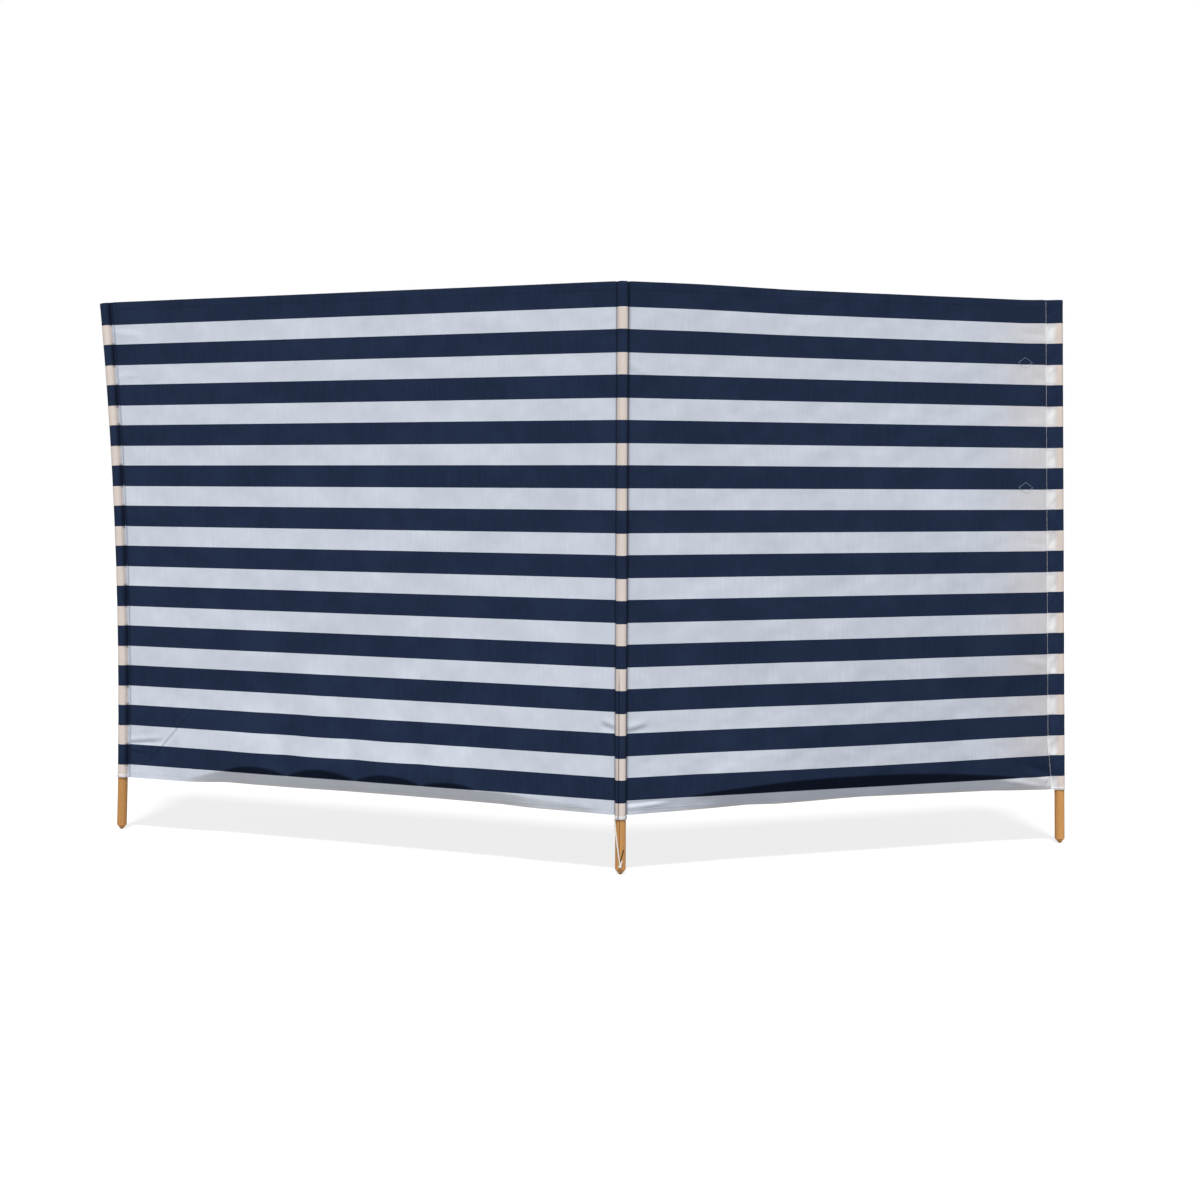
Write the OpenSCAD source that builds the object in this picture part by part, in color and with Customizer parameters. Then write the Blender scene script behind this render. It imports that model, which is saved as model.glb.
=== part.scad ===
// Beach windbreak: a striped canvas in two bays, sewn into pockets on three wooden poles.
// Millimetres. The origin is the middle of the blunt end of the middle pole,
// +X runs to the right, +Y to the back and +Z up.

/* [Poles] */
// Length of the wooden poles
pole_len = 1320; // [1280:5:1800]
// Diameter of the poles
pole_d = 24; // [16:0.5:32]
// Length of the sharpened point
point_h = 11; // [8:1:40]
// Width of the blunt end of the point
point_flat_d = 6; // [4:0.5:10]
// Chamfer of the top edge
top_chamfer = 3; // [1:0.5:6]

/* [Canvas] */
// Thickness of the canvas
cloth_t = 1; // [0.6:0.1:1.6]
// Height of a navy stripe
navy_h = 52; // [30:1:80]
// Height of a white stripe
white_h = 48; // [30:1:80]
// Height of the navy stripe along the top edge
top_navy_h = 56; // [30:1:90]
// Height of the narrow white stripe along the bottom edge
bottom_white_h = 32; // [20:1:60]
// Pairs of stripes between the bottom stripe and the top one
stripe_pairs = 11; // [6:1:12]

/* [Bays] */
// Left bay, between the pole centres at the tips
left_bay_w = 1360; // [800:1:2000]
// Right bay, between the pole centres at the tips
right_bay_w = 1150; // [800:1:2000]
// Turn of the left bay back from a straight row, in degrees
left_fold = 21.6; // [0:0.1:60]
// Turn of the right bay back from a straight row, in degrees
right_fold = 20.3; // [0:0.1:60]
// Lean of the left pole away from the middle one, in degrees
left_lean_angle = 1.3; // [-3:0.1:3]
// Lean of the right pole away from the middle one, in degrees
right_lean_angle = -1.6; // [-3:0.1:3]
// Bow of the left pole towards the middle one, at half its length
left_bow = 24; // [5:1:40]

/* [Pole pockets] */
// Room between a pole and its pocket
pocket_ease = 0.3; // [0.2:0.1:2]
// Flat tail of the left pocket, from the hollow to the end of the seam
left_tail = 8; // [6:0.5:60]
// Flat tail of the right pocket, from the hollow to the end of the seam
right_tail = 22; // [6:0.5:60]
// Sewn width where the two layers of a tail lie together
seam_w = 5; // [3:0.5:5]
// Turn by which the canvas of an end pocket tucks in behind its pole, in degrees
tuck_angle = 8; // [4:1:15]
// Height of the turned band at the bottom of a pocket
band_h = 6; // [3:0.5:20]
// How far the middle pocket hangs below the bays
middle_drop = 8; // [7:0.5:30]
// Room between the middle pocket and the bays that fold about it
fold_gap = 0.4; // [0.3:0.1:2]

/* [Hems] */
// Height of the layer turned back along the top edge
top_hem_h = 20; // [8:1:50]
// Height of the layer turned back along the bottom edge
bottom_hem_h = 14; // [8:1:30]
// How far the ends of a hem stop short of the pockets
hem_inset = 4; // [4:0.5:20]

/* [Patches] */
// Side of a square reinforcing patch, sewn on as a diamond
patch_side = 25; // [12:1:40]
// Middle of a patch, measured in from the right pocket
patch_inset = 56; // [30:1:200]
// Middle of a patch above the bottom of its navy stripe
patch_rise = 0; // [-10:1:30]
// Navy stripe of the upper patch, counted from the top
upper_patch_row = 2; // [1:1:6]
// Navy stripe of the lower patch, counted from the top
lower_patch_row = 5; // [2:1:6]

/* [Tie cord] */
// Diameter of the cord that ties the middle pocket down
cord_d = 3.2; // [1.5:0.1:4]
// Diameter of the knot at the foot
knot_d = 7; // [4:0.2:10]
// Height of the knot above the tip
knot_z = 19; // [18:1:28]
// Turn of the knot to the left of the front, in degrees
knot_angle = 2; // [0:1:30]
// Turn of the cord's sewn end to the left of the front, in degrees
sewn_angle = 61; // [50:1:80]
// Turn of the bend half way up the cord to the left of the front, in degrees
bend_angle = 34; // [30:1:45]
// Length of cord sewn to the pocket's band
sewn_len = 5; // [2:0.5:6]
// Rise of the loose end from the knot to the saw cut
tail_len = 13; // [4:0.5:18]
// Turn of the loose end to the right of the front, in degrees
tail_angle = 16; // [5:1:30]
// Depth of the hole that holds the cord's end
hole_depth = 8; // [4:0.5:10]
// Room between the cord and the wood or canvas beside it
cord_gap = 0.3; // [0.2:0.1:1]

/* [Saw cut] */
// Width of the old saw cut in the middle pole's foot
cut_w = 2.6; // [1:0.2:4]
// Length of the saw cut
cut_len = 28; // [10:1:40]
// Depth of the saw cut
cut_depth = 4; // [1:0.5:6]
// Middle of the saw cut above the tip
cut_z = 43; // [40:1:80]
// Middle of the saw cut to the right of the pole's axis
cut_x = 3.5; // [-6:0.5:6]
// Slant of the saw cut from upright, in degrees
cut_slant = 15; // [-30:1:30]

/* [Hidden] */
$fn = 64;
BOW_FN = 3600;

WOOD = [0.72, 0.54, 0.33];
NAVY = [0.12, 0.16, 0.26];
WHITE = [0.80, 0.82, 0.86];
CORD = [0.90, 0.88, 0.84];

pole_r = pole_d / 2;
pocket_r = pole_r + pocket_ease;
band_t = 2 * cloth_t;
stripe_pitch = navy_h + white_h;
last_stripe = 2 * stripe_pairs + 1;
cloth_h = bottom_white_h + stripe_pairs * stripe_pitch + top_navy_h;
pocket_end = pole_len + pocket_ease;
cloth_top = pocket_end + cloth_t;
foot_h = cloth_top - cloth_h;
middle_foot_h = foot_h - middle_drop;
middle_edge = pocket_r + cloth_t + fold_gap;
left_seam = pocket_r + left_tail;
right_seam = pocket_r + right_tail;
knot_r = pole_r + cord_gap + knot_d / 2;
sewn_r = pocket_r + band_t + cord_gap + cord_d / 2;
foot_cord_r = pole_r + cord_gap + cord_d / 2;
bend_r = foot_cord_r / cos(bend_angle - knot_angle);
bow_r = pow(pole_len, 2) / (8 * left_bow);
bow_x = bow_r * cos(bow_turn(pole_len));
bow_z = bow_r * sin(bow_turn(pole_len));
bow_centre = [
    left_bay_w + bow_x * cos(left_lean_angle) + bow_z * sin(left_lean_angle),
    bow_z * cos(left_lean_angle) - bow_x * sin(left_lean_angle)
];

// Lower edge of a stripe, counted from the bottom; even ones are white
function stripe_z(i) =
    i == 0 ? foot_h
    : i > last_stripe ? cloth_top
    : foot_h + bottom_white_h + floor((i - 1) / 2) * stripe_pitch + (i % 2 == 1 ? 0 : navy_h);

function stripe_colour(i) = i % 2 == 0 ? WHITE : NAVY;

// Turn of the left pole's bow at a length along the pole, from the middle of its length
function bow_turn(s) = (s - pole_len / 2) / bow_r * 180 / PI;

// Outer edge of a bay's canvas at a height, where the seam of the end pocket lies
function outer_edge(left, z) =
    left ? bow_centre.x - sqrt(pow(bow_r + left_seam, 2) - pow(z - bow_centre.y, 2))
    : right_bay_w + z * tan(right_lean_angle) - right_seam / cos(right_lean_angle);

// Point beside the middle pole, turned to the left of the front
function beside_pole(turn, r, z) = [-r * sin(turn), -r * cos(turn), z];

// The two bays run out from the middle pole; inside them x is the distance from it and y the back
module left_bay() {
    rotate([0, 0, -left_fold]) mirror([1, 0, 0]) children();
}

module right_bay() {
    rotate([0, 0, right_fold]) children();
}

module at_end_pole(bay_w, lean) {
    translate([bay_w, 0, 0]) rotate([0, lean, 0]) children();
}

// Carries a flat section along an end pole from one length to another, straight or round the bow
module along_pole(bowed, from, to) {
    if (bowed)
        translate([bow_x, 0, bow_z]) rotate([90, 0, 0])
            rotate_extrude(angle = bow_turn(to) - bow_turn(from), start = 180 - bow_turn(to), $fn = BOW_FN)
                translate([bow_r, 0]) mirror([1, 0]) children();
    else
        translate([0, 0, from]) linear_extrude(to - from) children();
}

// Stands a piece on the bow at a length along the left pole
module on_bow(s) {
    turn = bow_turn(s);
    translate([bow_x - bow_r * cos(turn), 0, bow_z + bow_r * sin(turn)]) rotate([0, turn, 0]) children();
}

// Stands a flat shape drawn in x and height upright, its back face at y = back
module upright(thickness, back) {
    translate([0, back, 0]) rotate([90, 0, 0]) linear_extrude(thickness) children();
}

// Turned pole: blunt cone, straight shaft and chamfered top
module turned_pole() {
    rotate_extrude() polygon([
        [0, 0], [point_flat_d / 2, 0], [pole_r, point_h],
        [pole_r, pole_len - top_chamfer], [pole_r - top_chamfer, pole_len], [0, pole_len]
    ]);
}

// What is pared off an end of a pole: all outside a cone from the end's own radius to the pole's at a depth
module parings(end_r, depth) {
    flare = (pole_r - end_r) / depth;
    rotate_extrude() polygon([
        [end_r - flare, -1], [end_r + 1.5 * depth * flare, 1.5 * depth],
        [pole_d, 1.5 * depth], [pole_d, -1]
    ]);
}

// The same pole after years of strain: its shaft is bowed and its ends follow
module bowed_pole() {
    difference() {
        along_pole(true, 0, pole_len) circle(pole_r, $fn = 64);
        on_bow(0) parings(point_flat_d / 2, point_h);
        on_bow(pole_len) mirror([0, 0, 1]) parings(pole_r - top_chamfer, top_chamfer);
    }
}

// Where the canvas of an end pocket leaves its pole for the seam, just inside a circle round the pole
function leaves_pole(seam, r) =
    let (turn = acos(pocket_r / (seam - seam_w)) - tuck_angle, inside = r - cloth_t / 2)
    [-inside * cos(turn), inside * sin(turn)];

// Hollow of an end pocket: the pole's round, drawn out to a point where the seam begins
module pocket_hollow(seam) {
    leave = leaves_pole(seam, pocket_r);
    circle(pocket_r);
    polygon([[seam_w - seam, 0], leave, [0, 0], [leave.x, -leave.y]]);
}

// Outside of an end pocket: the hollow with its wall, and the flat sewn tail
module pocket_outline(seam, wall) {
    leave = leaves_pole(seam, pocket_r + wall);
    circle(pocket_r + wall);
    polygon([
        leave, [seam_w - seam, wall], [-seam, wall],
        [-seam, -wall], [seam_w - seam, -wall], [leave.x, -leave.y], [0, 0]
    ]);
}

// Sleeve of the section that follows, from a height up to the pole's end, cut level into its stripes
module pocket_stripes(bowed, bottom) {
    reach = right_seam + left_bow + pole_d;
    for (i = [0 : last_stripe]) {
        low = i == 0 ? bottom - reach : stripe_z(i);
        high = i == last_stripe ? cloth_top + reach : stripe_z(i + 1);
        color(stripe_colour(i)) intersection() {
            along_pole(bowed, bottom, pocket_end) children();
            translate([-reach, -pole_d, low]) cube([2 * reach, 2 * pole_d, high - low]);
        }
    }
}

// Pocket of an end pole: double band at the bottom, single canvas above, closed over the top
module end_pocket(bowed, seam) {
    pocket_stripes(bowed, foot_h) difference() {
        pocket_outline(seam, cloth_t);
        pocket_hollow(seam);
    }
    color(WHITE) along_pole(bowed, foot_h, foot_h + band_h) difference() {
        pocket_outline(seam, band_t);
        pocket_hollow(seam);
    }
    color(NAVY) along_pole(bowed, pocket_end, cloth_top) pocket_outline(seam, cloth_t);
}

// One bay of canvas, woven in stripes, cut to the lean or the bow of its end pole
module bay_cloth(left) {
    spare = left ? seam_w : 0;
    for (i = [0 : last_stripe]) {
        low = stripe_z(i);
        high = stripe_z(i + 1);
        color(stripe_colour(i)) upright(cloth_t, cloth_t / 2) difference() {
            polygon([
                [middle_edge, low], [outer_edge(left, low) + spare, low],
                [outer_edge(left, high) + spare, high], [middle_edge, high]
            ]);
            if (left) translate(bow_centre) circle(bow_r + left_seam, $fn = BOW_FN);
        }
    }
}

// Layer of canvas turned back behind an edge, from one height to another
module bay_hem(left, low, high) {
    upright(cloth_t, cloth_t / 2 + cloth_t) polygon([
        [middle_edge + hem_inset, low], [outer_edge(left, low) - hem_inset, low],
        [outer_edge(left, high) - hem_inset, high], [middle_edge + hem_inset, high]
    ]);
}

// Diamond of canvas sewn behind a navy stripe of the right bay
module diamond_patch(row) {
    z = stripe_z(last_stripe - 2 * (row - 1)) + patch_rise;
    x = outer_edge(false, z) - patch_inset;
    color(NAVY) right_bay() upright(cloth_t, cloth_t / 2 + cloth_t)
        translate([x, z]) rotate(45) square(patch_side, center = true);
}

// Round rod from one point to another
module rod(from, to, d) {
    run = to - from;
    translate(from) rotate([0, acos(run.z / norm(run)), atan2(run.y, run.x)])
        cylinder(d = d, h = norm(run));
}

module left_pole() {
    color(WOOD) left_bay() at_end_pole(left_bay_w, left_lean_angle) bowed_pole();
}

module middle_pole() {
    color(WOOD) difference() {
        turned_pole();
        rod(beside_pole(knot_angle, pole_r - hole_depth, knot_z), beside_pole(knot_angle, pole_d, knot_z),
            cord_d + 2 * cord_gap);
        translate([cut_x, -pole_r, cut_z]) rotate([0, cut_slant, 0])
            cube([cut_w, 2 * cut_depth, cut_len], center = true);
    }
}

module right_pole() {
    color(WOOD) right_bay() at_end_pole(right_bay_w, right_lean_angle) turned_pole();
}

module left_pocket() {
    left_bay() at_end_pole(left_bay_w, left_lean_angle) end_pocket(true, left_seam);
}

module middle_pocket() {
    pocket_stripes(false, middle_foot_h) difference() {
        circle(pocket_r + cloth_t);
        circle(pocket_r);
    }
    color(WHITE) translate([0, 0, middle_foot_h]) linear_extrude(band_h) difference() {
        circle(pocket_r + band_t);
        circle(pocket_r);
    }
    color(NAVY) translate([0, 0, pocket_end]) cylinder(r = pocket_r + cloth_t, h = cloth_t);
}

module right_pocket() {
    right_bay() at_end_pole(right_bay_w, right_lean_angle) end_pocket(false, right_seam);
}

module left_cloth() {
    left_bay() bay_cloth(true);
}

module right_cloth() {
    right_bay() bay_cloth(false);
}

module left_top_hem() {
    color(NAVY) left_bay() bay_hem(true, cloth_top - top_hem_h, cloth_top);
}

module left_bottom_hem() {
    color(WHITE) left_bay() bay_hem(true, foot_h, foot_h + bottom_hem_h);
}

module right_top_hem() {
    color(NAVY) right_bay() bay_hem(false, cloth_top - top_hem_h, cloth_top);
}

module right_bottom_hem() {
    color(WHITE) right_bay() bay_hem(false, foot_h, foot_h + bottom_hem_h);
}

module upper_patch() {
    diamond_patch(upper_patch_row);
}

module lower_patch() {
    diamond_patch(lower_patch_row);
}

// Cord from the pocket's band down to the foot, knotted there with one end in the hole and one by the saw cut
module tie_cord() {
    sewn_end = beside_pole(sewn_angle, sewn_r, middle_foot_h + sewn_len);
    bend = beside_pole(bend_angle, bend_r, (middle_foot_h + knot_z) / 2);
    knot = beside_pole(knot_angle, knot_r, knot_z);
    color(CORD) {
        rod(sewn_end, bend, cord_d);
        translate(bend) sphere(d = cord_d + cord_gap);
        rod(bend, beside_pole(knot_angle, foot_cord_r, knot_z), cord_d);
        translate(knot) sphere(d = knot_d);
        rod(knot, beside_pole(knot_angle, pole_r - hole_depth + cord_gap, knot_z), cord_d);
        rod(knot, beside_pole(-tail_angle, foot_cord_r, knot_z + tail_len), cord_d);
    }
}

left_pole();
middle_pole();
right_pole();
left_pocket();
middle_pocket();
right_pocket();
left_cloth();
right_cloth();
left_top_hem();
left_bottom_hem();
right_top_hem();
right_bottom_hem();
upper_patch();
lower_patch();
tie_cord();
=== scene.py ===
import math
from collections import namedtuple

import bmesh
import bpy
import numpy as np
from bpy.props import FloatProperty, FloatVectorProperty, IntProperty, PointerProperty
from mathutils import Matrix, Vector


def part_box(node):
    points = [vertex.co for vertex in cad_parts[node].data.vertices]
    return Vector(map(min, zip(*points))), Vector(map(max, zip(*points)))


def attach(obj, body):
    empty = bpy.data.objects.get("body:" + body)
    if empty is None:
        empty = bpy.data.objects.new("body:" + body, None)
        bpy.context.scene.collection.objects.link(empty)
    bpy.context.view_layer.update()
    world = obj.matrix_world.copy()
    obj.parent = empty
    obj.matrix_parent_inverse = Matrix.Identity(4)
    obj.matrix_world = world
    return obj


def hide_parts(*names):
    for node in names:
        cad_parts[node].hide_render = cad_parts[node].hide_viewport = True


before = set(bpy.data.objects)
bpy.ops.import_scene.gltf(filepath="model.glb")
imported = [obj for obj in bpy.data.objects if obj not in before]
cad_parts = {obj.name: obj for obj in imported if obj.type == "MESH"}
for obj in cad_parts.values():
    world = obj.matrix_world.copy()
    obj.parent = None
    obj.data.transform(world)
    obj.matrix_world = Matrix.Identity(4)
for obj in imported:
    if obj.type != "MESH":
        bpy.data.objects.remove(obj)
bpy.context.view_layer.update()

bl_info = {
    "name": "Beach windbreak",
    "version": (1, 0, 0),
    "blender": (4, 5, 0),
    "location": "View3D > Sidebar > Windbreak",
    "description": "Dresses a striped canvas windbreak on three wooden poles",
    "category": "Object",
}

POLE_LOW, POLE_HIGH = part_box("middle_pole")
CLOTH_MAP = "cloth"
SIDES = ("left", "right")

# Camera and light: lens and sensor in mm, place in metres, turns and the sun's angles in degrees
LENS, SENSOR = 54.72, 36
CAMERA_PLACE = (0.0109, -4.0553, 0.8724)
CAMERA_TURNS = ((0.833, "Z"), (86.398, "X"), (0.22, "Z"))
SUN_ENERGY, SUN_SPREAD, SUN_HEIGHT = 4.45, 10, 66
SUN_TINT = (1.0, 0.99, 0.975)
SKY_FILL = 0.40
FLOOR_HALF, FLOOR_Z, FLOOR_GLOW = 20, -0.0004, 0.78

# Small lengths of the sewing in metres
POCKET_EASE = 0.00062  # middle of a pocket's canvas off the pole
PRESSED_IN = 0.00008  # most that a crease goes in where the pocket lies on the pole
LAYER_GAP = 0.0001  # air between two layers of cloth
BAND_SWELL, BAND_RAMP = 0.00085, 0.0012  # how far a turned band stands out, and over which height it begins
DRIFT_REACH = 0.13  # height over which the right seam runs to its pole
EDGE_STITCH = 0.004  # first stitch of an upright seam from the edge
HEM_STITCH = 0.003  # stitches of a hem from its free edge
HEM_STITCH_END = 0.006  # first stitch of a hem from the pocket
INNER_STITCH = 0.0035  # stitches beside the middle pocket from the edge of the canvas
TAIL_STITCH = 0.0018  # stitches of an end pocket from the end of its seam
PATCH_STITCH = (0.0016, 0.0010)  # stitches of a patch from its side and upper corners
PATCH_THREAD_D = (0.0013, 0.0010)  # thread of a patch on the front and the back
SEAM_EDGE = 0.001  # canvas stops short of a seam's inner end
FLANK_TUCK = math.radians(24)  # turn by which a flank tucks in behind its pole

# Patches and the navy stripe that each sits on, counted from the top
PATCH_ROWS = {"upper_patch": 2, "lower_patch": 5}

# Seeds of the ripples
BROAD_SEED = {"left": 11, "right": 23}
FINE_SEED = {"left": 5, "right": 8}
FLANK_SEED = {"left": 41, "right": 43}
HEM_SEED = {"top": 61, "bottom": 67}
TUBE_SEED, TAIL_SEED, POCKET_SEED = 31, 47, 53


def length(name, description, default):
    """A length in metres that the user can change."""
    return FloatProperty(name=name, description=description, default=default, unit="LENGTH", precision=4)


def turn(name, description, degrees):
    """An angle that the user can change, given in degrees."""
    return FloatProperty(
        name=name, description=description, default=math.radians(degrees), subtype="ANGLE", unit="ROTATION"
    )


def colour(name, description, default):
    """A colour in linear light that the user can change."""
    return FloatVectorProperty(
        name=name, description=description, default=default, subtype="COLOR", size=3, min=0, max=1
    )


class WindbreakSizes(bpy.types.PropertyGroup):
    """Sizes of the poles, the canvas and the tie cord."""

    pole_d: length("Pole", "Diameter of the poles", POLE_HIGH[0] - POLE_LOW[0])
    pole_len: length("Pole length", "Length of the poles", POLE_HIGH[2] - POLE_LOW[2])
    cloth_t: length("Canvas", "Thickness of the canvas in the bays", 0.0008)
    pocket_t: length("Pocket canvas", "Thickness of the canvas in pockets, hems and patches", 0.0007)
    navy_h: length("Navy stripe", "Height of a navy stripe", 0.052)
    white_h: length("White stripe", "Height of a white stripe", 0.048)
    top_navy_h: length("Top stripe", "Height of the navy stripe along the top", 0.056)
    bottom_white_h: length("Bottom stripe", "Height of the white stripe along the bottom", 0.032)
    stripe_pairs: IntProperty(
        name="Stripe pairs", description="Navy and white pairs in between", default=11
    )
    cloth_top: length("Top edge", "Height of the top edge of the canvas", 1.3213)
    left_bay_w: length("Left bay", "Left bay between the pole centres at the tips", 1.360)
    right_bay_w: length("Right bay", "Right bay between the pole centres at the tips", 1.150)
    left_fold: turn("Left fold", "Turn of the left bay back from a straight row", 21.6)
    right_fold: turn("Right fold", "Turn of the right bay back from a straight row", 20.3)
    left_lean: turn("Left lean", "Lean of the left pole away from the middle one", 1.3)
    right_lean: turn("Right lean", "Lean of the right pole away from the middle one", -1.6)
    left_bow: length("Left bow", "Bow of the left pole towards the middle one", 0.024)
    middle_edge: length("Inner edge", "Start of a bay's canvas beside the middle pocket", 0.0137)
    left_seam: length("Left seam", "End of the left pocket's seam from its pole's axis", 0.0203)
    right_seam: length("Right seam", "End of the right pocket's seam from its pole's axis", 0.0343)
    right_drift: length("Seam drift", "How far the right seam runs to its pole at the bottom", 0.009)
    seam_w: length("Seam", "Sewn width of a pocket's tail", 0.005)
    band_h: length("Band", "Height of the turned band at the bottom of a pocket", 0.006)
    middle_drop: length("Middle drop", "How far the middle pocket hangs below the bays", 0.008)
    top_hem_h: length("Top hem", "Height of the layer turned back along the top", 0.02)
    bottom_hem_h: length("Bottom hem", "Height of the layer turned back along the bottom", 0.014)
    hem_inset: length("Hem inset", "How far a hem stops short of the pockets", 0.004)
    lobe_turn: turn("Lobe turn", "Slope of the navy cloth that turns under above the bottom stripe", 22)
    patch_w: length("Patch width", "Width of a patch from corner to corner", 0.0425)
    patch_h: length("Patch height", "Height of a patch from corner to corner", 0.027)
    patch_inset: length("Patch inset", "Middle of a patch from the right pocket", 0.056)
    patch_rise: length("Patch rise", "Middle of a patch above the bottom of its stripe", 0.005)
    stitch_len: length("Stitch", "Pitch of the stitches", 0.0042)
    thread_d: length("Thread", "Diameter of the sewing thread", 0.0006)
    cord_d: length("Tie cord", "Diameter of the tie cord", 0.0031)
    knot_z: length("Knot", "Height of the knot above the tip", 0.019)


class WindbreakColours(bpy.types.PropertyGroup):
    """Colours of the finishes, in linear light."""

    white: colour("White canvas", "Undyed stripes", (0.606, 0.658, 0.748))
    lined: colour("Canvas over wood", "Undyed stripes where a pole lies behind them", (0.68, 0.605, 0.555))
    navy: colour("Navy canvas", "Dyed stripes", (0.0108, 0.0204, 0.0502))
    faded: colour("Faded navy", "Dyed stripes where threads have lost colour", (0.0187, 0.0330, 0.0740))
    wood: colour("Pale wood", "Early wood of the poles", (0.58, 0.288, 0.093))
    grain: colour("Dark wood", "Late wood of the poles", (0.40, 0.20, 0.06))
    stain: colour("Soil stain", "Soil on the points", (0.15, 0.095, 0.045))
    thread: colour("Pale thread", "Thread of the right seam", (0.95, 0.95, 0.94))
    patch: colour("Patch thread", "Thread of the patches on the dyed stripes", (0.22, 0.31, 0.41))
    cord: colour("Tie cord", "Cotton of the tie cord", (0.80, 0.78, 0.74))
    floor: colour("Floor", "Light that the floor throws back", (0.30, 0.30, 0.31))


def smooth(x):
    """Ramp from 0 to 1 with level ends, 3x^2 - 2x^3 between 0 and 1."""
    x = np.clip(x, 0, 1)
    return x * x * (3 - 2 * x)


def stretches(stops, steps):
    """Numbers from one stop to the next, with each stretch cut into its own count of even steps."""
    parts = [np.linspace(a, b, n, endpoint=False) for a, b, n in zip(stops[:-1], stops[1:], steps)]
    return np.concatenate(parts + [np.array(stops[-1:])])


def unit(vectors):
    """Vectors divided by their lengths."""
    return vectors / np.maximum(np.linalg.norm(vectors, axis=-1, keepdims=True), 1e-12)


def ripples(seed, count, longest, shortest, u, v):
    """Sum of sine waves over (u, v) with seeded directions and phases.

    The waves get shorter by one ratio from the longest to the shortest, and their heights fall with them.
    """
    rng = np.random.default_rng(seed)
    total = np.zeros(np.broadcast(u, v).shape)
    for wave in np.geomspace(longest, shortest, count):
        way, phase = rng.uniform(0, 2 * math.pi, 2)
        place = u * math.cos(way) + v * math.sin(way)
        total = total + wave / longest * np.sin(place * 2 * math.pi / wave + phase)
    return total


def crease(u, v, start, end, width, height, tail):
    """Sharp fold along a segment: height times x exp(0.5 - x^2 / 2) across it, x being distance over width.

    Along the segment the fold fades out at its far end. At its near end it fades in over the share given by
    tail, or starts at full height where tail is 1.
    """
    a, b = np.array(start), np.array(end)
    run = b - a
    size = np.linalg.norm(run)
    along = ((u - a[0]) * run[0] + (v - a[1]) * run[1]) / size**2
    x = ((u - a[0]) * run[1] - (v - a[1]) * run[0]) / size / width
    fade = smooth(along / tail + (0 if tail < 1 else 1)) * smooth((1 - along) / 0.5)
    fade = fade * (along > -0.2)
    return height * x * np.exp(0.5 - x * x / 2) * fade


Surface = namedtuple("Surface", "points uv closed flip marks")


def grid_faces(rows, cols, closed, flip):
    """Corner numbers of the quads between neighbouring rows and columns.

    Where closed, the last column is joined to the first one.
    """
    j, i = np.meshgrid(np.arange(rows - 1), np.arange(cols if closed else cols - 1), indexing="ij")
    k = (i + 1) % cols
    low, high = j * cols, (j + 1) * cols
    quads = np.stack([low + i, low + k, high + k, high + i], -1).reshape(-1, 4)
    return quads[:, ::-1] if flip else quads


def make_piece(name, surfaces, material, thickness=0.0, merge=False):
    """One mesh object from grid surfaces, with their cloth map and marks.

    Merging closes seams and poles, and a thickness adds Solidify about the middle of the surface.
    """
    points, uvs, faces, at = [], [], [], 0
    for s in surfaces:
        rows, cols = s.points.shape[:2]
        points.append(s.points.reshape(-1, 3))
        uvs.append(np.broadcast_to(s.uv, (rows, cols, 2)).reshape(-1, 2))
        faces.append(grid_faces(rows, cols, s.closed, s.flip) + at)
        at += rows * cols
    faces = np.concatenate(faces)
    mesh = bpy.data.meshes.new(name)
    mesh.from_pydata(np.concatenate(points).tolist(), [], faces.tolist())
    layer = mesh.uv_layers.new(name=CLOTH_MAP)
    layer.data.foreach_set("uv", np.concatenate(uvs)[faces.ravel()].astype(np.float32).ravel())
    for mark in surfaces[0].marks:
        values = [np.broadcast_to(s.marks[mark], s.points.shape[:2]).ravel() for s in surfaces]
        mesh.attributes.new(mark, "FLOAT", "POINT").data.foreach_set(
            "value", np.concatenate(values).astype(np.float32)
        )
    if merge:
        shell = bmesh.new()
        shell.from_mesh(mesh)
        bmesh.ops.remove_doubles(shell, verts=shell.verts, dist=2e-6)
        shell.to_mesh(mesh)
        shell.free()
    mesh.update(calc_edges=True)
    mesh.polygons.foreach_set("use_smooth", np.ones(len(mesh.polygons), bool))
    if thickness:
        sides = np.empty(len(mesh.loops), np.int32)
        mesh.loops.foreach_get("edge_index", sides)
        border = np.bincount(sides, minlength=len(mesh.edges)) == 1
        mesh.edges.foreach_set("use_edge_sharp", border)
    mesh.materials.append(material)
    piece = bpy.data.objects.new(name, mesh)
    bpy.context.scene.collection.objects.link(piece)
    if thickness:
        wall = piece.modifiers.new("Canvas thickness", "SOLIDIFY")
        wall.thickness = thickness
        wall.offset = 0
        wall.use_quality_normals = True
    return piece


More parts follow.
